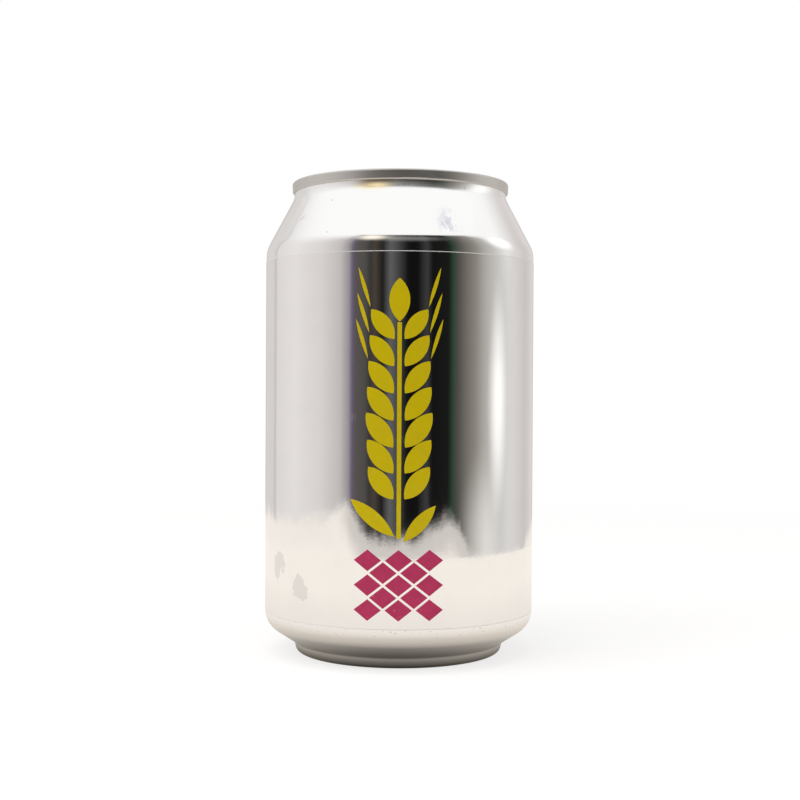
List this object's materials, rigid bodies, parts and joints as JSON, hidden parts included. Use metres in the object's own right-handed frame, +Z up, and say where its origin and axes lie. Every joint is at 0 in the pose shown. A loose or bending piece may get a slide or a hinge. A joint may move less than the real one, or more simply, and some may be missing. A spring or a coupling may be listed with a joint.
{
  "type": "beer can",
  "caption": "Shut aluminium drinks can with a necked shoulder, a stay-on-tab end held by a double seam, a domed base and a mirror film label wrapped round its wall.",
  "frame": {"origin": "on the axis of the can, in the plane of the ring that it stands on", "axes": "+Z up along the axis of the can; -Y is the front, where the print is and where the can pours; the label closes at +Y"},
  "size_m": [0.0662, 0.0663, 0.1152],
  "materials": {
    "body_aluminium": "bright drawn aluminium, satin on the chime, clear lacquer",
    "end_aluminium": "satin rolled aluminium sheet",
    "tab_aluminium": "bright curled aluminium",
    "mirror_film": "mirror-bright metallised film label",
    "ink_mustard": "opaque mustard yellow ink printed on the film",
    "ink_raspberry": "opaque raspberry pink ink printed on the film"
  },
  "bodies": {
    "root": {"can_body": "body_aluminium", "can_end": "end_aluminium", "pull_tab": "tab_aluminium", "label_film": "mirror_film"}
  },
  "joints": []
}
